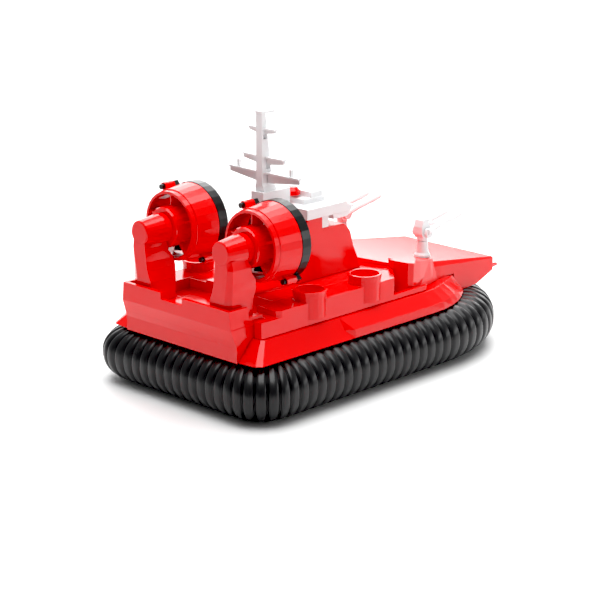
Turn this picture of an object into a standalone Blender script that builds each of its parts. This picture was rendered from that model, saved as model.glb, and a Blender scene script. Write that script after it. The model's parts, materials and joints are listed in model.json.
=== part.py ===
"""Toy hovercraft with a ribbed skirt, two ducted propellers and two twin water monitors.

The hull is laid out in millimetres: x forward from the skirt's aft face, y to port, z up from the
floor. `place` turns that into metres, with the origin under the middle of the skirt.
"""

import math

import bmesh
import bpy
import numpy as np
from mathutils import Matrix, Vector

MM = 0.001
SEAT = 0.3                      # gap between two mouldings that touch

# Skirt
LENGTH = 355.0
BEAM = 210.0
SKIRT_WIDTH = 53.0              # of the tube, seen from above
SKIRT_HEIGHT = 47.7
SKIRT_CORNER = 32.9             # outer radius of the stern corners
SKIRT_INNER_CORNER = 3.0
NOSE_START = 230.0              # where the sides begin to curve in
NOSE_POWER = 2.24
RIB_PITCH = 10.4
RIB_DEPTH = 1.7
SKIRT_SIDES = 12

# Hull
HULL_BOTTOM = SKIRT_HEIGHT + SEAT
LEDGE_Z = 65.0                  # top of the apron
WALL_Y = 74.5                   # deckhouse wall
INNER_WALL_Y = 50.0             # between deckhouse and main deck
DECK_Z = 84.5
PLATEAU_Z = 86.7                # raised middle of the main deck
STERN_FRONT_X = 43.0            # front of the stern block
WELL_FLOOR_Z = 76.0             # the open well that the pylons stand in
WELL_Y = 60.0
WELL_FRONT_X = 68.0
RIM_AFT_X = 7.1
RIM_FRONT_X = 10.8
RIM_Z = 90.7
FOREDECK_X = 204.0              # its aft edge
FOREDECK_Z = 88.8
SLOPE = 0.14                    # of the foredeck, down towards the bow
PLATFORM_Z = 85.6               # the raised corners that carry the monitors
PAN_Z = 14.0                    # underside of the belly pan

# Propulsion
FAN_Y = 47.7
FAN_Z = 133.7
DUCT_AFT_X = 45.2
DUCT_FRONT_X = 71.5
RING_FRONT_X = 81.8
DUCT_AFT_R = 29.0
DUCT_FRONT_R = 32.5
RING_R = 33.0
DUCT_WALL = 2.2
DRUM_R = 17.0
DRUM_AFT_X = 38.0
DRUM_FRONT_X = 60.0
NACELLE_AFT_X = 12.2
LUG_R_FROM_AXIS = 36.0
LUG_ANGLE = math.radians(41.0)  # from straight up, towards port
LUG_R = 3.4
COLLAR_X = 49.5                 # where the shroud steps out behind its lip
PEG_R = 2.2
PROPELLER_R = 27.6
PROPELLER_X = 67.0
BLADES = 6
SHAFT_R = 2.5

# Monitors
MONITOR_X = 254.0
MONITOR_Y = 48.0
SWIVEL_Z = 100.0
TRUNNION_Z = 108.0
BARREL_Y = 7.6                  # from the middle of the monitor

# Tower and mast
TOWER_TOP_Z = 137.0
TOWER_STEP_X = 146.0            # where the tower's top steps down
TOWER_STEP_Z = 127.0
TOWER_HALF = 30.5
BRIDGE_Z = TOWER_TOP_Z + SEAT

COLOURS = {                     # name: base colour, roughness
    "red": ((0.80, 0.010, 0.008), 0.22),
    "black": ((0.012, 0.012, 0.013), 0.45),
    "white": ((0.86, 0.86, 0.86), 0.35),
}


def place(point):
    """A point of the hull's layout in metres."""
    x, y, z = point
    return Vector(((x - LENGTH / 2) * MM, y * MM, z * MM))


def material(name):
    colour, roughness = COLOURS[name]
    made = bpy.data.materials.new(name)
    made.use_nodes = True
    shader = made.node_tree.nodes["Principled BSDF"]
    shader.inputs["Base Color"].default_value = (*colour, 1.0)
    shader.inputs["Roughness"].default_value = roughness
    shader.inputs["Metallic"].default_value = 0.0
    made.diffuse_color = (*colour, 1.0)
    return made


def finish(name, bm, colour, pivot=None, parent=None, smooth=35.0):
    """An object made from a mesh in hull millimetres, with its origin at the pivot."""
    bmesh.ops.recalc_face_normals(bm, faces=bm.faces)
    origin = place(pivot) if pivot else Vector((0.0, 0.0, 0.0))
    for vert in bm.verts:
        vert.co = place(vert.co) - origin
    mesh = bpy.data.meshes.new(name)
    bm.to_mesh(mesh)
    bm.free()
    mesh.shade_smooth()
    mesh.set_sharp_from_angle(angle=math.radians(smooth))
    mesh.materials.append(material(colour))
    made = bpy.data.objects.new(name, mesh)
    bpy.context.scene.collection.objects.link(made)
    made.location = origin
    made.parent = parent
    if parent:
        made.location = origin - parent.matrix_world.translation
    return made


def loft(bm, rings, closed=False):
    """Quads between rings of points; the ends are capped unless the loft closes on itself."""
    loops = [[bm.verts.new(point) for point in ring] for ring in rings]
    pairs = list(zip(loops, loops[1:]))
    if closed:
        pairs.append((loops[-1], loops[0]))
    for first, second in pairs:
        for i in range(len(first)):
            j = (i + 1) % len(first)
            bm.faces.new((first[i], first[j], second[j], second[i]))
    if not closed:
        bm.faces.new(loops[0])
        bm.faces.new(loops[-1])
    return loops


def prism(bm, outline, low, high):
    """A flat outline of (x, y), raised from low to high."""
    loft(bm, [[(x, y, z) for x, y in outline] for z in (low, high)])


def block(bm, x, y, z):
    """A box from three (low, high) pairs."""
    prism(bm, [(x[0], y[0]), (x[1], y[0]), (x[1], y[1]), (x[0], y[1])], *z)


def turned(bm, profile, centre, axis, sides):
    """A closed profile of (along, radius) turned about an axis; radius 0 closes on the axis."""
    turn = {"x": Vector((1, 0, 0)), "y": Vector((0, 1, 0)), "z": Vector((0, 0, 1))}[axis]
    out = {"x": Vector((0, 0, 1)), "y": Vector((0, 0, 1)), "z": Vector((1, 0, 0))}[axis]
    middle = Vector(centre)
    open_ends = profile[0][1] == 0.0
    points = profile[1:-1] if open_ends else profile
    rings = []
    for k in range(sides):
        spoke = Matrix.Rotation(2 * math.pi * k / sides, 3, turn) @ out
        rings.append([middle + turn * a + spoke * r for a, r in points])
    loops = [[bm.verts.new(point) for point in ring] for ring in rings]
    count = len(points)
    for k in range(sides):
        first, second = loops[k], loops[(k + 1) % sides]
        for i in range(count - 1 if open_ends else count):
            j = (i + 1) % count
            bm.faces.new((first[i], first[j], second[j], second[i]))
    if open_ends:
        bm.faces.new([loop[0] for loop in loops])
        bm.faces.new([loop[-1] for loop in loops])


def combine(target, tool, operation):
    """A Boolean modifier on target, with tool kept as a hidden guide."""
    tool.hide_render = True
    tool.display_type = "WIRE"
    cut = target.modifiers.new(operation.lower(), "BOOLEAN")
    cut.operation = operation
    cut.solver = "EXACT"
    cut.object = tool


def join(name, solids, colour, pivot=None, parent=None):
    """One body from overlapping solids, each a function that fills an empty mesh."""
    body = None
    for k, fill in enumerate(solids):
        bm = bmesh.new()
        fill(bm)
        if body is None:
            body = finish(name, bm, colour, pivot, parent)
        else:
            tool = finish(f"{name}.guide{k}", bm, colour, pivot, parent)
            combine(body, tool, "UNION")
    return body


def cut(body, fill, pivot=None):
    """Takes a solid out of a body."""
    bm = bmesh.new()
    fill(bm)
    count = len(body.modifiers)
    tool = finish(f"{body.name}.cutter{count}", bm, "black", pivot, body.parent)
    combine(body, tool, "DIFFERENCE")


def mirrored(outline):
    """A half outline on the port side, from stern to bow, with its starboard half."""
    return outline + [(x, -y) for x, y in reversed(outline) if y > 0.0]


def nose_curve(count, offset=0.0):
    """The skirt's centreline round the bow, port side, as (x, y), moved out by offset."""
    half = (BEAM - SKIRT_WIDTH) / 2
    reach = LENGTH - SKIRT_WIDTH / 2 - NOSE_START
    t = np.linspace(0.0, math.pi / 2, count * 8 + 1)
    x = NOSE_START + reach * np.sin(t) ** (2 / NOSE_POWER)
    y = half * np.cos(t) ** (2 / NOSE_POWER)
    y[-1] = 0.0
    run = np.concatenate([[0.0], np.cumsum(np.hypot(np.diff(x), np.diff(y)))])
    at = np.linspace(0.0, run[-1], count + 1)
    x, y = np.interp(at, run, x), np.interp(at, run, y)
    dx, dy = np.gradient(x), np.gradient(y)
    dx[0], dy[0] = 1.0, 0.0
    dx[-1], dy[-1] = 0.0, -1.0
    size = np.hypot(dx, dy)
    return [(px - offset * b / s, py + offset * a / s)
            for px, py, a, b, s in zip(x, y, dx, dy, size)]


def skirt_stations():
    """Inner and outer points of the skirt, seen from above, port side, from stern to bow."""
    side = BEAM / 2
    inner = side - SKIRT_WIDTH
    turn = inner - SKIRT_INNER_CORNER
    per_rib = 3
    aft = round(turn / RIB_PITCH) * per_rib
    corner = round(
        (2 * (side - SKIRT_CORNER - turn) + SKIRT_CORNER * math.pi / 2) / RIB_PITCH) * per_rib
    along = round((NOSE_START - SKIRT_WIDTH - SKIRT_INNER_CORNER) / RIB_PITCH) * per_rib
    nose = round(138.0 / RIB_PITCH) * per_rib
    stations = []
    for k in range(aft):
        y = turn * k / aft
        stations.append(((SKIRT_WIDTH, y), (0.0, y)))
    straight = side - SKIRT_CORNER - turn
    sweep = SKIRT_CORNER * math.pi / 2
    for k in range(corner):
        f = k / corner
        s = f * (2 * straight + sweep)
        if s < straight:
            outer = (0.0, turn + s)
        elif s < straight + sweep:
            a = (s - straight) / SKIRT_CORNER
            outer = (SKIRT_CORNER * (1 - math.cos(a)), side - SKIRT_CORNER * (1 - math.sin(a)))
        else:
            outer = (SKIRT_CORNER + s - straight - sweep, side)
        a = f * math.pi / 2
        point = (SKIRT_WIDTH + SKIRT_INNER_CORNER * (1 - math.cos(a)),
                 turn + SKIRT_INNER_CORNER * math.sin(a))
        stations.append((point, outer))
    start = SKIRT_WIDTH + SKIRT_INNER_CORNER
    for k in range(along):
        x = start + (NOSE_START - start) * k / along
        stations.append(((x, inner), (x, side)))
    half = SKIRT_WIDTH / 2
    stations += list(zip(nose_curve(nose, -half), nose_curve(nose, half)))
    return stations


def skirt_section(inner, outer, depth):
    """The tube's closed section between an inner and an outer point, its skin in by depth."""
    inner, outer = np.array(inner), np.array(outer)
    middle, half = (inner + outer) / 2, (outer - inner) / 2
    width = np.hypot(*half)
    unit = half / width
    points = []
    for k in range(SKIRT_SIDES):
        a = 2 * math.pi * (k + 0.5) / SKIRT_SIDES
        reach = (width - depth) * math.cos(a) / math.cos(math.pi / SKIRT_SIDES)
        reach = max(-width + depth, min(width - depth, reach))
        rise = (SKIRT_HEIGHT / 2 - depth) * math.sin(a) / math.sin(math.pi * (0.5 - 1 / SKIRT_SIDES))
        rise = max(-1.0, min(1.0, rise / (SKIRT_HEIGHT / 2 - depth))) * (SKIRT_HEIGHT / 2 - depth)
        xy = middle + unit * reach
        points.append((xy[0], xy[1], SKIRT_HEIGHT / 2 + rise))
    return points


def make_skirt(parent):
    half = skirt_stations()
    other = [((a, -b), (c, -d)) for (a, b), (c, d) in reversed(half[1:-1])]
    rings = []
    for k, (inner, outer) in enumerate(half + other):
        rings.append(skirt_section(inner, outer, RIB_DEPTH if k % 3 == 0 else 0.0))
    bm = bmesh.new()
    loft(bm, rings, closed=True)
    return finish("skirt", bm, "black", parent=parent, smooth=50.0)


def make_belly_pan(parent):
    """The closed bottom inside the skirt."""
    gap = SEAT + 0.2
    y = BEAM / 2 - SKIRT_WIDTH - gap
    x = SKIRT_WIDTH + gap
    outline = [(x, 0.0), (x, y - SKIRT_INNER_CORNER), (x + SKIRT_INNER_CORNER, y)]
    outline += nose_curve(8, -SKIRT_WIDTH / 2 - gap)
    bm = bmesh.new()
    prism(bm, mirrored(outline), PAN_Z, HULL_BOTTOM - SEAT)
    return finish("belly_pan", bm, "black", parent=parent)


# Hull

def make_hull_base(parent):
    """The deck pan over the skirt, with the apron along each side and round the bow."""
    # x and half width of the rim, of the band above it and of the ledge
    rows = ((14.0, 0.0, 21.0, 0.0, 30.3, 0.0), (14.0, 71.0, 21.0, 70.0, 30.3, 68.0),
            (15.0, 84.0, 22.0, 79.0, 31.0, 73.5), (19.0, 88.0, 25.0, 83.0, 33.0, 76.5),
            (118.0, 88.0, 118.0, 83.0, 118.0, 76.5), (126.0, 88.0, 126.0, 87.2, 126.0, 76.5),
            (222.0, 88.0, 222.0, 87.2, 222.0, 76.5), (240.0, 87.0, 239.0, 85.6, 236.0, 75.5),
            (255.0, 83.6, 252.5, 81.8, 247.5, 73.0), (268.0, 78.6, 264.0, 76.6, 257.5, 69.8),
            (280.0, 72.0, 274.5, 70.2, 267.5, 66.0), (291.0, 64.6, 284.5, 63.0, 276.0, 61.8),
            (300.0, 57.4, 292.5, 57.4, 283.0, 58.2), (287.0, 57.2, 286.0, 57.2, 279.5, 58.1),
            (287.0, 0.0, 286.0, 0.0, 279.5, 0.0))
    rim = [(row[0], row[1]) for row in rows]
    band = [(row[2], row[3]) for row in rows]
    ledge = [(row[4], row[5]) for row in rows]
    sole = [(x, y - 4.0 if y > 60.0 else y) for x, y in rim]
    bm = bmesh.new()
    loft(bm, [[(x, y, z) for x, y in mirrored(outline)]
              for outline, z in ((sole, HULL_BOTTOM), (rim, HULL_BOTTOM + 0.6), (band, 55.5),
                                 (ledge, LEDGE_Z))])
    return finish("hull_base", bm, "red", parent=parent)


def make_main_deck(parent):
    """The deck between the deckhouses, low in the stern well and raised along its middle."""
    half = INNER_WALL_Y - SEAT
    low = LEDGE_Z + SEAT

    def well_floor(bm):
        block(bm, (STERN_FRONT_X + SEAT, WELL_FRONT_X + 2.0), (-half, half), (low, WELL_FLOOR_Z))

    def deck(bm):
        front = FOREDECK_X - SEAT
        outline = [(WELL_FRONT_X, 0.0), (WELL_FRONT_X, half), (front + 8.0, half), (front, 16.0),
                   (front, 0.0)]
        prism(bm, mirrored(outline), low, DECK_Z)

    def plateau(bm):
        block(bm, (WELL_FRONT_X, 117.0), (-29.0, 29.0), (DECK_Z - 1.0, PLATEAU_Z))
    return join("main_deck", [deck, well_floor, plateau], "red", parent=parent)


def foredeck_z(x):
    """Height of the sloping foredeck."""
    return FOREDECK_Z - SLOPE * (x - FOREDECK_X)


def make_bow_hull(parent):
    """The bow with its sloping foredeck and a raised corner on each side for a monitor."""
    low = LEDGE_Z + SEAT
    inner = INNER_WALL_Y - SEAT
    # x, half width of the deck edge, half width and height of the knuckle, floor
    stern_end = ((212.2, inner, inner, 84.0, low), (229.0, inner, inner, 82.0, low))
    after = ((227.0, 54.0, 57.4, 80.5, low), (268.0, 54.0, 57.8, 76.0, low),
             (288.0, 53.6, 56.8, 73.8, low))
    bow = ((287.3, 53.6, 56.8, 73.9, HULL_BOTTOM), (309.0, 53.0, 55.6, 71.5, HULL_BOTTOM),
           (322.0, 52.6, 54.8, 70.2, 48.8), (345.5, 52.0, 53.7, 67.8, 57.0))

    def run(stations):
        def fill(bm):
            rings = []
            for x, deck_y, side_y, side_z, floor in stations:
                half = [(x, side_y, floor), (x, side_y, side_z), (x, deck_y, foredeck_z(x))]
                rings.append(half + [(x, -y, z) for x, y, z in reversed(half)])
            loft(bm, rings)
        return fill

    def chevron(bm):
        """The foredeck's aft edge, further aft in the middle."""
        outline = [(FOREDECK_X, 0.0), (FOREDECK_X, 16.0), (FOREDECK_X + 8.0, inner),
                   (FOREDECK_X + 9.0, inner), (FOREDECK_X + 9.0, 0.0)]
        flat = mirrored(outline)
        loft(bm, [[(x, y, low) for x, y in flat], [(x, y, foredeck_z(x)) for x, y in flat]])

    def corner(side):
        def fill(bm):
            # x and half width at the top, x and half width at the foot
            rows = ((214.0, 44.0, 214.0, 44.0), (214.0, 50.0, 214.0, 50.0),
                    (208.6, 50.0, 208.6, 50.0), (208.6, 56.0, 208.6, 56.0),
                    (212.0, 68.0, 212.0, 68.0), (216.5, 70.8, 216.5, 70.8),
                    (229.0, 67.4, 229.0, 67.4), (249.0, 61.0, 253.0, 61.6),
                    (255.0, 58.6, 261.5, 59.4), (259.0, 54.5, 266.0, 54.8),
                    (260.0, 44.0, 267.0, 44.0))
            top = [(x, side * y, PLATFORM_Z + SLOPE * (MONITOR_X - x)) for x, y, _, _ in rows]
            foot = [(x, side * y, low) for _, _, x, y in rows]
            loft(bm, [foot, top])
        return fill

    def seat(side):
        def fill(bm):
            floor = PLATFORM_Z - 0.15
            turned(bm, [(floor, 0.0), (floor, 8.0), (floor + 9.0, 8.0), (floor + 9.0, 0.0)],
                   (MONITOR_X, side * MONITOR_Y, 0.0), "z", 24)
        return fill

    def prong(side):
        def fill(bm):
            turned(bm, [(344.0, 0.0), (344.0, 2.2), (354.0, 1.4), (354.0, 0.0)],
                   (0.0, side * 51.0, 60.0), "x", 8)
        return fill
    solids = [run(after), run(stern_end), run(bow), chevron, corner(1), corner(-1), prong(1),
              prong(-1)]
    body = join("bow_hull", solids, "red", parent=parent)
    cut(body, seat(1))
    cut(body, seat(-1))
    return body


def make_transom(parent):
    """The stern block with its sloping belt, and the open well that the pylons stand in."""
    front = STERN_FRONT_X
    # x aft, x front, half width, z
    levels = ((12.4, 13.1, 66.1, 47.8), (12.4, 23.4, 66.0, 60.0), (10.6, 29.6, 65.6, 65.2),
              (10.6, front, 65.6, LEDGE_Z + SEAT + 0.1), (RIM_AFT_X, front, 64.7, 75.5),
              (RIM_AFT_X, front, 64.4, 76.2), (RIM_AFT_X, front, 63.0, RIM_Z))
    bm = bmesh.new()
    loft(bm, [[(aft, -y, z), (aft, y, z), (fore, y, z), (fore, -y, z)]
              for aft, fore, y, z in levels])
    body = finish("transom", bm, "red", parent=parent)

    def well(bm):
        block(bm, (RIM_FRONT_X, front + 1.0), (-WELL_Y, WELL_Y), (WELL_FLOOR_Z, RIM_Z + 1.0))

    def low_sides(bm):
        block(bm, (28.0, front + 1.0), (-70.0, 70.0), (82.0, RIM_Z + 1.0))

    def notch(bm):
        block(bm, (RIM_AFT_X - 1.0, RIM_FRONT_X + 1.0), (-8.0, 17.0), (85.0, RIM_Z + 1.0))
    for fill in (well, low_sides, notch):
        cut(body, fill)
    return body


def make_deckhouse(side, name, parent):
    """A side deckhouse with its two round intake trunks."""
    low = LEDGE_Z + SEAT

    def raised(outline, high):
        def fill(bm):
            prism(bm, [(x, side * y) for x, y in outline], low, high)
        return fill
    house = [(50.0, INNER_WALL_Y), (208.2, INNER_WALL_Y), (208.2, 54.3), (190.0, 72.5),
             (187.5, WALL_Y), (54.0, WALL_Y), (50.0, 71.0)]
    step = [(STERN_FRONT_X + SEAT, INNER_WALL_Y), (52.0, INNER_WALL_Y), (60.0, WALL_Y - 1.0),
            (60.0, WALL_Y), (31.0, WALL_Y), (31.0, 66.2), (STERN_FRONT_X + SEAT, 66.2)]
    shelf = [(180.0, 71.2), (232.0, 71.2), (232.0, 72.5), (229.0, WALL_Y), (180.0, WALL_Y)]

    def trunk(x):
        def fill(bm):
            turned(bm, [(low + 5.0, 0.0), (low + 5.0, 13.5), (88.0, 13.5), (93.0, 14.5),
                        (93.0, 12.0), (84.5, 10.5), (84.5, 0.0)], (x, side * 66.0, 0.0), "z", 24)
        return fill
    solids = [raised(house, DECK_Z), raised(step, 79.0), raised(shelf, 70.0), trunk(94.0),
              trunk(160.0)]
    return join(name, solids, "red", parent=parent)


def make_intake_hub(x, side, name, parent):
    bm = bmesh.new()
    turned(bm, [(84.5 + SEAT, 0.0), (84.5 + SEAT, 5.0), (88.0, 4.0), (88.0, 0.0)],
           (x, side * 66.0, 0.0), "z", 16)
    return finish(name, bm, "red", parent=parent)


# Propulsion

def make_pylon(side, name, parent):
    """The post under each propeller with the nacelle on top."""
    # z, inboard edge, end of the aft face, outboard face, front
    rows = ((WELL_FLOOR_Z + SEAT, 35.1, 51.5, 57.6, 38.0), (94.0, 35.1, 51.8, 57.8, 38.5),
            (103.0, 38.7, 53.0, 58.2, 41.5), (110.0, 40.0, 54.3, 58.7, 40.5),
            (116.0, 40.6, 55.0, 59.0, 36.0), (121.0, 41.3, 55.6, 59.2, 35.5),
            (128.5, 41.8, 54.6, 57.6, 31.5))

    def post(bm):
        aft = RIM_FRONT_X + 1.8
        rings = []
        for z, inboard, turn, outboard, front in rows:
            outline = [(aft, inboard), (aft, turn), (aft + 3.0, outboard), (front, outboard),
                       (front + 1.5, outboard - 3.0), (front + 1.5, inboard)]
            rings.append([(x, side * y, z) for x, y in outline])
        loft(bm, rings)

    def nacelle(bm):
        turned(bm, [(NACELLE_AFT_X, 0.0), (NACELLE_AFT_X, 9.0), (NACELLE_AFT_X + 1.0, 10.0),
                    (32.0, 12.5), (DRUM_AFT_X - SEAT, 12.5), (DRUM_AFT_X - SEAT, 0.0)],
               (0.0, side * FAN_Y, FAN_Z), "x", 24)
    return join(name, [nacelle, post], "red", parent=parent)


def spoke_angles(count, start):
    return [start + 2 * math.pi * k / count for k in range(count)]


def make_duct(side, name, parent):
    """The shroud with its drum, stator vanes and peg lugs."""
    y = side * FAN_Y
    centre = (0.0, y, FAN_Z)

    def shell(bm):
        turned(bm, [(DUCT_AFT_X, DUCT_AFT_R - DUCT_WALL), (DUCT_AFT_X, DUCT_AFT_R),
                    (COLLAR_X, DUCT_AFT_R + 0.4), (COLLAR_X + 0.5, DUCT_AFT_R + 1.2),
                    (DUCT_FRONT_X, DUCT_FRONT_R), (DUCT_FRONT_X, DUCT_FRONT_R - DUCT_WALL)],
               centre, "x", 32)

    def drum(bm):
        turned(bm, [(DRUM_AFT_X, 0.0), (DRUM_AFT_X, DRUM_R - 1.0), (DRUM_AFT_X + 1.5, DRUM_R),
                    (DRUM_FRONT_X, DRUM_R), (DRUM_FRONT_X, SHAFT_R + SEAT),
                    (DRUM_AFT_X + 8.0, SHAFT_R + SEAT), (DRUM_AFT_X + 8.0, 0.0)],
               centre, "x", 24)

    def vane(angle):
        def fill(bm):
            block(bm, (DUCT_AFT_X + 2.0, DRUM_FRONT_X - 1.0), (-0.9, 0.9),
                  (DRUM_R - 0.8, DUCT_AFT_R - DUCT_WALL + 1.0))
            bmesh.ops.rotate(bm, verts=bm.verts, matrix=Matrix.Rotation(angle, 3, "X"))
            bmesh.ops.translate(bm, verts=bm.verts, vec=centre)
        return fill

    def lug(turn):
        def fill(bm):
            at = Matrix.Rotation(-LUG_ANGLE + turn, 3, "X") @ Vector((0, 0, LUG_R_FROM_AXIS))
            turned(bm, [(60.5, PEG_R + SEAT), (60.5, LUG_R), (DUCT_FRONT_X - 0.4, LUG_R),
                        (DUCT_FRONT_X - 0.4, PEG_R + SEAT)],
                   (0.0, y + at.y, FAN_Z + at.z), "x", 12)
        return fill

    def web(turn):
        def fill(bm):
            block(bm, (61.0, DUCT_FRONT_X - 0.8), (-1.6, 1.6),
                  (DUCT_FRONT_R - DUCT_WALL, LUG_R_FROM_AXIS - PEG_R - SEAT - 0.4))
            bmesh.ops.rotate(bm, verts=bm.verts, matrix=Matrix.Rotation(-LUG_ANGLE + turn, 3, "X"))
            bmesh.ops.translate(bm, verts=bm.verts, vec=centre)
        return fill

    vanes = [vane(a) for a in spoke_angles(5, 0.0)]
    solids = [shell, drum, *vanes, web(0.0), web(math.pi), lug(0.0), lug(math.pi)]
    return join(name, solids, "red", parent=parent)


def make_ring(side, name, parent):
    """The black front ring with the two pegs that hold it in the duct's lugs."""
    y = side * FAN_Y

    def ring(bm):
        turned(bm, [(DUCT_FRONT_X + SEAT, RING_R - 3.0), (DUCT_FRONT_X + SEAT, RING_R),
                    (RING_FRONT_X - 1.0, RING_R), (RING_FRONT_X, RING_R - 1.0),
                    (RING_FRONT_X, RING_R - 3.0)], (0.0, y, FAN_Z), "x", 32)

    def peg(turn):
        def fill(bm):
            at = Matrix.Rotation(-LUG_ANGLE + turn, 3, "X") @ Vector((0, 0, LUG_R_FROM_AXIS))
            turned(bm, [(57.5, 0.0), (57.5, PEG_R), (DUCT_FRONT_X + 4.0, PEG_R),
                        (DUCT_FRONT_X + 4.0, 0.0)], (0.0, y + at.y, FAN_Z + at.z), "x", 12)
        return fill

    def ear(turn):
        def fill(bm):
            block(bm, (DUCT_FRONT_X + SEAT, DUCT_FRONT_X + 5.0), (-PEG_R, PEG_R),
                  (RING_R - 1.5, LUG_R_FROM_AXIS + PEG_R))
            bmesh.ops.rotate(bm, verts=bm.verts, matrix=Matrix.Rotation(-LUG_ANGLE + turn, 3, "X"))
            bmesh.ops.translate(bm, verts=bm.verts, vec=(0.0, y, FAN_Z))
        return fill
    return join(name, [ring, ear(0.0), ear(math.pi), peg(0.0), peg(math.pi)], "black",
                parent=parent)


def make_propeller(side, name, parent):
    y = side * FAN_Y
    pivot = (PROPELLER_X, y, FAN_Z)

    def hub(bm):
        turned(bm, [(DRUM_AFT_X + 8.0 + SEAT, 0.0), (DRUM_AFT_X + 8.0 + SEAT, SHAFT_R),
                    (DRUM_FRONT_X + SEAT + 0.4, SHAFT_R), (DRUM_FRONT_X + SEAT + 0.4, 9.0),
                    (74.0, 9.0), (78.0, 5.0), (78.0, 0.0)], (0.0, y, FAN_Z), "x", 24)

    def blade(angle):
        def fill(bm):
            rings = []
            for r, chord, twist in ((7.5, 9.0, 55.0), (17.0, 13.0, 42.0), (PROPELLER_R, 15.0, 33.0)):
                c, s = math.cos(math.radians(twist)), math.sin(math.radians(twist))
                ring = []
                for u, v in ((-0.5, -0.45), (0.5, -0.45), (0.5, 0.45), (-0.5, 0.45)):
                    a, b = u * chord, v * 2.0
                    ring.append((a * c - b * s, a * s + b * c, r))
                rings.append(ring)
            loft(bm, rings)
            bmesh.ops.rotate(bm, verts=bm.verts, matrix=Matrix.Rotation(angle, 3, "X"))
            bmesh.ops.translate(bm, verts=bm.verts, vec=pivot)
        return fill
    blades = [blade(a) for a in spoke_angles(BLADES, 0.3)]
    return join(name, [hub, *blades], "black", pivot, parent)


# Tower and mast

def wall(bm, profile, low, high):
    """A flat outline of (x, z), spread from low to high along y."""
    loft(bm, [[(x, y, z) for x, z in profile] for y in (low, high)])


def make_tower(parent):
    profile = [(118.0, DECK_Z + SEAT), (124.0, 121.0), (128.0, TOWER_TOP_Z),
               (TOWER_STEP_X, TOWER_TOP_Z), (TOWER_STEP_X, TOWER_STEP_Z), (172.0, TOWER_STEP_Z),
               (175.4, 124.7), (180.4, 118.6), (184.3, 105.6), (189.5, 94.9),
               (193.4, DECK_Z + SEAT)]
    bm = bmesh.new()
    wall(bm, profile, -TOWER_HALF, TOWER_HALF)
    return finish("tower", bm, "red", parent=parent)


def make_bridge(parent):
    """The wheelhouse, with a fascia and two posts over the step in the tower's top."""
    def lower(bm):
        wall(bm, [(127.0, BRIDGE_Z), (127.0, 146.0), (171.0, 146.0), (181.0, 141.5),
                  (179.5, BRIDGE_Z)], -31.5, 31.5)

    def upper(bm):
        block(bm, (139.0, 164.0), (-16.0, 16.0), (145.0, 150.3))

    def cabin(bm):
        block(bm, (148.5, 162.0), (-15.0, 15.0), (149.0, 155.0))

    def fascia(bm):
        wall(bm, [(159.0, 133.0), (158.0, BRIDGE_Z + 1.0), (179.5, BRIDGE_Z + 1.0), (177.0, 133.0)],
             -31.2, 31.2)

    def post(side):
        def fill(bm):
            near, far = sorted((side * 24.0, side * 30.0))
            block(bm, (TOWER_STEP_X + SEAT, 154.0), (near, far),
                  (TOWER_STEP_Z + SEAT, BRIDGE_Z + 1.0))
        return fill
    return join("wheelhouse", [lower, upper, cabin, fascia, post(1), post(-1)], "white",
                parent=parent)


def make_mast(parent):
    """The mast on its foot, with three yards; each yard has a web under its flange."""
    def column(bm):
        rings = []
        for z, aft, front, half in ((160.0, 103.5, 118.0, 5.0), (165.0, 102.4, 117.0, 4.6),
                                    (168.0, 102.4, 114.5, 3.5), (226.5, 102.4, 106.8, 3.5)):
            rings.append([(aft, -half, z), (front, -half, z), (front, half, z), (aft, half, z)])
        loft(bm, rings)

    def foot(bm):
        block(bm, (100.0, 131.5), (-7.0, 7.0), (146.0 + SEAT, 161.0))

    def web(x, z, half, root, tip):
        def fill(bm):
            outline = [(-half, z - tip), (-half, z), (half, z), (half, z - tip), (3.0, z - root),
                       (-3.0, z - root)]
            loft(bm, [[(px, y, pz) for y, pz in outline] for px in (x - 0.9, x + 0.9)])
        return fill

    def flange(x, z, half, wide):
        def fill(bm):
            outline = [(x - wide, 0.0), (x - wide * 0.6, half), (x + wide * 0.6, half),
                       (x + wide, 0.0)]
            prism(bm, mirrored(outline), z - 0.2, z + 1.2)
        return fill

    def end_post(side):
        def fill(bm):
            block(bm, (107.8, 110.2), (side * 30.5 - 1.2, side * 30.5 + 1.2), (176.0, 183.0))
        return fill

    def cap(bm):
        block(bm, (102.0, 117.0), (-4.0, 4.0), (226.0, 228.0))
    yards = []
    for x, z, half, root, tip, wide in ((109.0, 176.0, 40.5, 8.5, 4.0, 4.0),
                                        (108.5, 189.0, 23.3, 6.0, 3.0, 3.4),
                                        (106.8, 213.0, 15.0, 4.0, 2.0, 3.0)):
        yards += [flange(x, z, half, wide), web(x, z, half, root, tip)]
    body = join("mast", [column, foot, *yards, end_post(1), end_post(-1), cap], "white",
                parent=parent)
    for x, z, size in ((106.0, 207.0, 2.0), (109.5, 181.5, 2.2)):
        def hole(bm, x=x, z=z, size=size):
            block(bm, (x - size, x + size), (-6.0, 6.0), (z - size, z + size))
        cut(body, hole)
    return body


def make_beacon(parent):
    bm = bmesh.new()
    turned(bm, [(152.0 + SEAT, 0.0), (152.0 + SEAT, 7.0), (156.0, 6.5), (159.0, 4.0), (160.0, 0.0)],
           (141.0, 0.0, 0.0), "z", 20)
    return finish("beacon", bm, "red", parent=parent)


# Monitors

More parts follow.
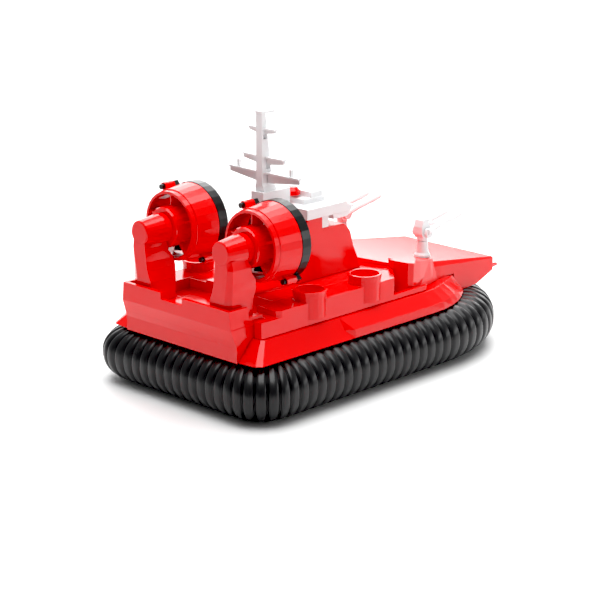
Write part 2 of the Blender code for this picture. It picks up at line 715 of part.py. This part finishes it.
def make_monitor(side, tag, parent):
    """Pedestal, yoke and twin barrels; returns the three objects."""
    x, y = MONITOR_X, side * MONITOR_Y
    base_z = PLATFORM_Z + SEAT
    trunnion = (x, y, TRUNNION_Z)

    bm = bmesh.new()
    turned(bm, [(base_z, 0.0), (base_z, 7.4), (base_z + 2.0, 7.0), (base_z + 4.0, 5.4),
                (SWIVEL_Z - 3.0, 4.6), (SWIVEL_Z, 4.6), (SWIVEL_Z, 0.0)], (x, y, 0.0), "z", 20)
    pedestal = finish(f"monitor_pedestal_{tag}", bm, "white", parent=parent)

    def neck(bm):
        turned(bm, [(SWIVEL_Z + SEAT, 0.0), (SWIVEL_Z + SEAT, 4.7), (104.0, 5.0), (104.0, 0.0)],
               (x, y, 0.0), "z", 20)

    def head(bm):
        wall(bm, [(x - 4.0, 103.0), (x - 6.5, 107.0), (x - 6.5, 113.0), (x - 4.5, 119.0),
                  (x - 1.0, 120.5), (x + 2.0, 119.0), (x + 3.0, 114.5), (x + 6.0, 112.0),
                  (x + 6.0, 104.5), (x + 4.0, 103.0)], y - 4.8, y + 4.8)
    yoke = join(f"monitor_yoke_{tag}", [head, neck], "white", (x, y, SWIVEL_Z), parent)

    def boss(turn):
        def fill(bm):
            at = turn * 5.2
            ends = sorted((at, turn * (BARREL_Y + 0.6)))
            turned(bm, [(ends[0], 0.0), (ends[0], 4.4), (ends[1], 4.4), (ends[1], 0.0)],
                   trunnion, "y", 16)
        return fill

    def barrel(offset):
        def fill(bm):
            rings = []
            for dx, dz, r in ((-2.0, 1.0, 2.6), (7.0, 3.6, 2.7), (11.0, 4.6, 2.5),
                              (28.0, 7.4, 2.1), (31.0, 8.0, 2.4), (42.0, 10.4, 2.2)):
                rings.append([(x + dx, y + offset + r * math.cos(a), TRUNNION_Z + dz + r * math.sin(a))
                              for a in np.linspace(0, 2 * math.pi, 9)[:-1]])
            loft(bm, rings)
        return fill

    def bar(bm):
        block(bm, (x + 10.8, x + 14.0), (y - BARREL_Y, y + BARREL_Y),
              (TRUNNION_Z + 3.4, TRUNNION_Z + 6.4))
    barrels = join(f"monitor_barrels_{tag}", [barrel(-BARREL_Y), bar, barrel(BARREL_Y), boss(-1),
                                              boss(1)], "white", trunnion, parent)
    return pedestal, yoke, barrels


def clear_scene():
    for thing in list(bpy.data.objects):
        bpy.data.objects.remove(thing, do_unlink=True)


def main():
    clear_scene()
    root = bpy.data.objects.new("hovercraft", None)
    bpy.context.scene.collection.objects.link(root)
    make_skirt(root)
    make_belly_pan(root)
    make_hull_base(root)
    make_main_deck(root)
    make_bow_hull(root)
    make_transom(root)
    make_tower(root)
    make_bridge(root)
    make_mast(root)
    make_beacon(root)
    for side, tag in ((1, "port"), (-1, "starboard")):
        make_deckhouse(side, f"deckhouse_{tag}", root)
        for x, place_name in ((94.0, "aft"), (160.0, "forward")):
            make_intake_hub(x, side, f"intake_hub_{place_name}_{tag}", root)
        make_pylon(side, f"pylon_{tag}", root)
        make_duct(side, f"duct_{tag}", root)
        make_ring(side, f"duct_ring_{tag}", root)
        make_propeller(side, f"propeller_{tag}", root)
        make_monitor(side, tag, root)


main()
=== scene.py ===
"""Looks of the toy hovercraft: finishes, fine relief and the studio it is shown in.

Sizes are in hull millimetres: x forward from the skirt's aft face, y to port, z up from the floor.
"""

import json
import math

import bmesh
import bpy
import numpy as np
from mathutils import Matrix, Vector


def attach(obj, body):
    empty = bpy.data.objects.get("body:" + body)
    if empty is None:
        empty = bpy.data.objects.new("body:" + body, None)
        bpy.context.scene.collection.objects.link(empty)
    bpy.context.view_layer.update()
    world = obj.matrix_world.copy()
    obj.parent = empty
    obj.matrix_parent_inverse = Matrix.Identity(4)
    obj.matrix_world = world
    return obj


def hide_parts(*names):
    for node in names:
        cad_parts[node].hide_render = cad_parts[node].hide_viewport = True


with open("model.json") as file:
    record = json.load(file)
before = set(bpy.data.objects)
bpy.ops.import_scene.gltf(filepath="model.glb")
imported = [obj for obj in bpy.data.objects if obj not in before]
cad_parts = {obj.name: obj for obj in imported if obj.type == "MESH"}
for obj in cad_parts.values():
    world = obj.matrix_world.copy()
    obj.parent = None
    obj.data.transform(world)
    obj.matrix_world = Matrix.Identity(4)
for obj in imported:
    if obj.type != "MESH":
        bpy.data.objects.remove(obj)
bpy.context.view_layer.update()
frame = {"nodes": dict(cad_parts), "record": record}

MM = 0.001
LENGTH = 355.0
BEAM = 210.0
SKIRT_WIDTH = 53.0
SKIRT_HEIGHT = 47.7
SKIRT_CORNER = 32.9
SKIRT_INNER_CORNER = 3.0
NOSE_START = 230.0
NOSE_POWER = 2.24
RIB_PITCH = 10.4
RIB_DEPTH = 1.9


def place(point):
    """A point of the hull's layout in metres."""
    x, y, z = point
    return Vector(((x - LENGTH / 2) * MM, y * MM, z * MM))


# Materials

def node(tree, kind, **values):
    made = tree.nodes.new(kind)
    for name, value in values.items():
        if name in made.inputs:
            made.inputs[name].default_value = value
        else:
            setattr(made, name, value)
    return made


def plastic(name, colour, roughness, spread, grain, wave, specular=0.5):
    """Moulded plastic: a base colour with cloudy gloss, a fine grain and slow sink waves."""
    made = bpy.data.materials.new(name)
    made.use_nodes = True
    tree = made.node_tree
    shader = tree.nodes["Principled BSDF"]
    shader.inputs["Base Color"].default_value = (*colour, 1.0)
    shader.inputs["Specular IOR Level"].default_value = specular
    where = node(tree, "ShaderNodeTexCoord")
    cloud = node(tree, "ShaderNodeTexNoise", Scale=60.0, Detail=3.0)
    tree.links.new(where.outputs["Object"], cloud.inputs["Vector"])
    gloss = node(tree, "ShaderNodeMapRange")
    gloss.inputs["To Min"].default_value = roughness - spread
    gloss.inputs["To Max"].default_value = roughness + spread
    tree.links.new(cloud.outputs["Fac"], gloss.inputs["Value"])
    tree.links.new(gloss.outputs["Result"], shader.inputs["Roughness"])
    fine = node(tree, "ShaderNodeTexNoise", Scale=2600.0, Detail=2.0)
    slow = node(tree, "ShaderNodeTexNoise", Scale=90.0, Detail=1.0)
    tree.links.new(where.outputs["Object"], fine.inputs["Vector"])
    tree.links.new(where.outputs["Object"], slow.inputs["Vector"])
    first = node(tree, "ShaderNodeBump", Strength=1.0, Distance=grain * MM)
    second = node(tree, "ShaderNodeBump", Strength=1.0, Distance=wave * MM)
    tree.links.new(fine.outputs["Fac"], first.inputs["Height"])
    tree.links.new(slow.outputs["Fac"], second.inputs["Height"])
    tree.links.new(first.outputs["Normal"], second.inputs["Normal"])
    tree.links.new(second.outputs["Normal"], shader.inputs["Normal"])
    return made


RED = plastic("red_plastic", (0.86, 0.002, 0.002), 0.13, 0.03, 0.004, 0.05, 0.42)
BLACK = plastic("black_plastic", (0.009, 0.009, 0.010), 0.30, 0.06, 0.01, 0.05, 0.45)
WHITE = plastic("white_plastic", (0.85, 0.85, 0.86), 0.22, 0.04, 0.004, 0.05, 0.45)
FINISH = {"red_plastic": RED, "black_plastic": BLACK, "white_plastic": WHITE}


def dress(made, material):
    made.data.materials.clear()
    made.data.materials.append(material)


def round_edges(made, width, angle=28.0):
    """Clean flat faces and softly rounded edges on a solid, as moulded plastic has."""
    weld = made.modifiers.new("weld", "WELD")
    weld.merge_threshold = 0.00001
    flat = made.modifiers.new("flat", "DECIMATE")
    flat.decimate_type = "DISSOLVE"
    flat.angle_limit = math.radians(0.8)
    bevel = made.modifiers.new("bevel", "BEVEL")
    bevel.width = width * MM
    bevel.segments = 2
    bevel.limit_method = "ANGLE"
    bevel.angle_limit = math.radians(angle)
    bevel.harden_normals = True


def dress_frame():
    """Every solid of the frame gets its plastic and rounded edges."""
    slots = {s["node"]: s["material_slot"] for s in frame["record"]["subparts"]}
    for name, made in frame["nodes"].items():
        dress(made, FINISH[slots[name]])
        round_edges(made, 0.45)


# Building

def finish(name, bm, material, body="hull", smooth=35.0):
    """A piece made from a mesh in hull millimetres."""
    bmesh.ops.recalc_face_normals(bm, faces=bm.faces)
    for vert in bm.verts:
        vert.co = place(vert.co)
    mesh = bpy.data.meshes.new(name)
    bm.to_mesh(mesh)
    bm.free()
    mesh.shade_smooth()
    mesh.set_sharp_from_angle(angle=math.radians(smooth))
    mesh.materials.append(material)
    made = bpy.data.objects.new(name, mesh)
    bpy.context.scene.collection.objects.link(made)
    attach(made, body)
    return made


def loft(bm, rings, closed=False):
    """Quads between rings of points; the ends are capped unless the loft closes on itself."""
    loops = [[bm.verts.new(point) for point in ring] for ring in rings]
    pairs = list(zip(loops, loops[1:]))
    if closed:
        pairs.append((loops[-1], loops[0]))
    for first, second in pairs:
        for i in range(len(first)):
            j = (i + 1) % len(first)
            bm.faces.new((first[i], first[j], second[j], second[i]))
    if not closed:
        bm.faces.new(loops[0])
        bm.faces.new(loops[-1])
    return loops


# Skirt

def nose_curve(at, offset=0.0):
    """Points of the skirt's centreline round the bow, port side, moved out by offset."""
    half = (BEAM - SKIRT_WIDTH) / 2
    reach = LENGTH - SKIRT_WIDTH / 2 - NOSE_START
    t = np.linspace(0.0, math.pi / 2, 400)
    x = NOSE_START + reach * np.sin(t) ** (2 / NOSE_POWER)
    y = half * np.cos(t) ** (2 / NOSE_POWER)
    y[-1] = 0.0
    run = np.concatenate([[0.0], np.cumsum(np.hypot(np.diff(x), np.diff(y)))])
    stops = np.linspace(0.0, run[-1], 97)
    x, y = np.interp(stops, run, x), np.interp(stops, run, y)
    dx, dy = np.gradient(x), np.gradient(y)
    dx[0], dy[0], dx[-1], dy[-1] = 1.0, 0.0, 0.0, -1.0
    size = np.hypot(dx, dy)
    x, y = x - offset * dy / size, y + offset * dx / size
    grid = np.linspace(0.0, 1.0, 97)
    return list(zip(np.interp(at, grid, x), np.interp(at, grid, y)))


def skirt_stations(steps):
    """Inner point, outer point and rib phase along the port half of the skirt, stern to bow."""
    side = BEAM / 2
    inner = side - SKIRT_WIDTH
    turn = inner - SKIRT_INNER_CORNER
    straight = side - SKIRT_CORNER - turn
    sweep = SKIRT_CORNER * math.pi / 2
    start = SKIRT_WIDTH + SKIRT_INNER_CORNER
    counts = {"aft": round(turn / RIB_PITCH), "corner": round((2 * straight + sweep) / RIB_PITCH),
              "side": round((NOSE_START - start) / RIB_PITCH), "nose": round(138.0 / RIB_PITCH)}
    stations = []
    for k in range(counts["aft"] * steps):
        y = turn * k / (counts["aft"] * steps)
        stations.append(((SKIRT_WIDTH, y), (0.0, y)))
    for k in range(counts["corner"] * steps):
        f = k / (counts["corner"] * steps)
        s = f * (2 * straight + sweep)
        if s < straight:
            outer = (0.0, turn + s)
        elif s < straight + sweep:
            a = (s - straight) / SKIRT_CORNER
            outer = (SKIRT_CORNER * (1 - math.cos(a)), side - SKIRT_CORNER * (1 - math.sin(a)))
        else:
            outer = (SKIRT_CORNER + s - straight - sweep, side)
        a = f * math.pi / 2
        near = (SKIRT_WIDTH + SKIRT_INNER_CORNER * (1 - math.cos(a)),
                turn + SKIRT_INNER_CORNER * math.sin(a))
        stations.append((near, outer))
    for k in range(counts["side"] * steps):
        x = start + (NOSE_START - start) * k / (counts["side"] * steps)
        stations.append(((x, inner), (x, side)))
    at = np.linspace(0.0, 1.0, counts["nose"] * steps + 1)
    half = SKIRT_WIDTH / 2
    stations += list(zip(nose_curve(at, -half), nose_curve(at, half)))
    return stations


def rib_height(phase):
    """Height of the ribs over one pitch, 0 in the groove and 1 on the crest."""
    broad = max(0.0, 1.0 - abs((phase - 0.5) / 0.40) ** 3.2) ** 0.5
    away = min(phase, 1.0 - phase)
    narrow = 0.5 * max(0.0, 1.0 - (away / 0.075) ** 2) ** 0.5
    return max(broad, narrow)


def make_skirt():
    steps, sides = 14, 48
    half = skirt_stations(steps)
    other = [((a, -b), (c, -d)) for (a, b), (c, d) in reversed(half[1:-1])]
    rings = []
    for k, (inner, outer) in enumerate(half + other):
        inner, outer = np.array(inner), np.array(outer)
        middle, arm = (inner + outer) / 2, (outer - inner) / 2
        width = np.hypot(*arm)
        unit = arm / width
        low = RIB_DEPTH * (1.0 - rib_height((k % steps) / steps))
        bow = max(0.0, min(1.0, (middle[0] - 300.0) / 20.0))
        ring = []
        for j in range(sides):
            a = 2 * math.pi * j / sides
            smooth = bow * max(0.0, math.sin(a)) ** 0.5 * max(0.0, min(1.0, 0.75 - math.cos(a)))
            depth = low * (1.0 - min(1.0, smooth)) + 0.6 * RIB_DEPTH * min(1.0, smooth) * 0.0
            c, s = math.cos(a), math.sin(a)
            c, s = math.copysign(abs(c) ** 0.93, c), math.copysign(abs(s) ** 0.93, s)
            xy = middle + unit * (width - depth) * c
            ring.append((xy[0], xy[1], SKIRT_HEIGHT / 2 + (SKIRT_HEIGHT / 2 - depth) * s))
        rings.append(ring)
    bm = bmesh.new()
    loft(bm, rings, closed=True)
    made = finish("skirt_ribbed", bm, BLACK, smooth=60.0)
    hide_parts("skirt")
    return made


# Studio

CAMERA_AT = (-1.1405, -1.0885, 0.5155)
CAMERA_LOOKS = (0.68606, 0.67067, -0.28201)
CAMERA_LENS = 113.7


def make_camera():
    data = bpy.data.cameras.new("camera")
    data.lens = CAMERA_LENS
    data.sensor_width = 36.0
    made = bpy.data.objects.new("camera", data)
    bpy.context.scene.collection.objects.link(made)
    made.location = CAMERA_AT
    made.rotation_mode = "QUATERNION"
    made.rotation_quaternion = Vector(CAMERA_LOOKS).to_track_quat("-Z", "Y")
    bpy.context.scene.camera = made


def area_light(name, at, target, size, power, colour=(1.0, 1.0, 1.0)):
    data = bpy.data.lights.new(name, "AREA")
    data.shape = "RECTANGLE"
    data.size, data.size_y = size
    data.energy = power
    data.color = colour
    made = bpy.data.objects.new(name, data)
    bpy.context.scene.collection.objects.link(made)
    made.location = at
    made.rotation_mode = "QUATERNION"
    made.rotation_quaternion = (Vector(target) - Vector(at)).to_track_quat("-Z", "Y")


def world_light():
    """Soft surroundings: dim round the camera, bright overhead and behind the object."""
    world = bpy.data.worlds.new("studio")
    world.use_nodes = True
    tree = world.node_tree
    back = tree.nodes["Background"]
    where = node(tree, "ShaderNodeTexCoord")
    toward = node(tree, "ShaderNodeVectorMath", operation="DOT_PRODUCT")
    toward.inputs[1].default_value = (0.40, 0.40, 0.82)
    ramp = node(tree, "ShaderNodeMapRange", interpolation_type="SMOOTHSTEP")
    ramp.inputs["From Min"].default_value = -0.25
    ramp.inputs["From Max"].default_value = 0.75
    ramp.inputs["To Min"].default_value = 0.16
    ramp.inputs["To Max"].default_value = 0.40
    tree.links.new(where.outputs["Generated"], toward.inputs[0])
    tree.links.new(toward.outputs["Value"], ramp.inputs["Value"])
    tree.links.new(ramp.outputs["Result"], back.inputs["Strength"])
    back.inputs["Color"].default_value = (1.0, 1.0, 1.0, 1.0)
    bpy.context.scene.world = world


def make_studio():
    bm = bmesh.new()
    bmesh.ops.create_grid(bm, x_segments=1, y_segments=1, size=12.0)
    mesh = bpy.data.meshes.new("floor")
    bm.to_mesh(mesh)
    bm.free()
    floor = bpy.data.objects.new("floor", mesh)
    bpy.context.scene.collection.objects.link(floor)
    pale = bpy.data.materials.new("floor_pale")
    pale.use_nodes = True
    shader = pale.node_tree.nodes["Principled BSDF"]
    shader.inputs["Base Color"].default_value = (0.93, 0.93, 0.93, 1.0)
    shader.inputs["Roughness"].default_value = 0.6
    shader.inputs["Specular IOR Level"].default_value = 0.1
    mesh.materials.append(pale)
    world_light()
    view = bpy.context.scene.view_settings
    view.view_transform = "Standard"
    view.use_curve_mapping = True
    view.curve_mapping.black_level = (0.012, 0.012, 0.012)
    view.curve_mapping.white_level = (0.92, 0.92, 0.92)
    view.curve_mapping.update()
    area_light("overhead", (-0.05, -0.05, 1.25), (0.0, 0.0, 0.0), (1.3, 1.3), 19.0)
    area_light("far_floor", (1.5, 1.5, 1.6), (1.2, 1.2, 0.0), (2.0, 2.0), 45.0)
    area_light("backdrop", (1.15, 1.1, 0.5), (0.0, 0.0, 0.08), (2.2, 0.7), 11.0)
    area_light("bow_strip", (1.0, -0.95, 0.33), (0.0, 0.0, 0.08), (1.4, 0.22), 3.0)


def main():
    make_camera()
    make_studio()
    dress_frame()
    make_skirt()


main()
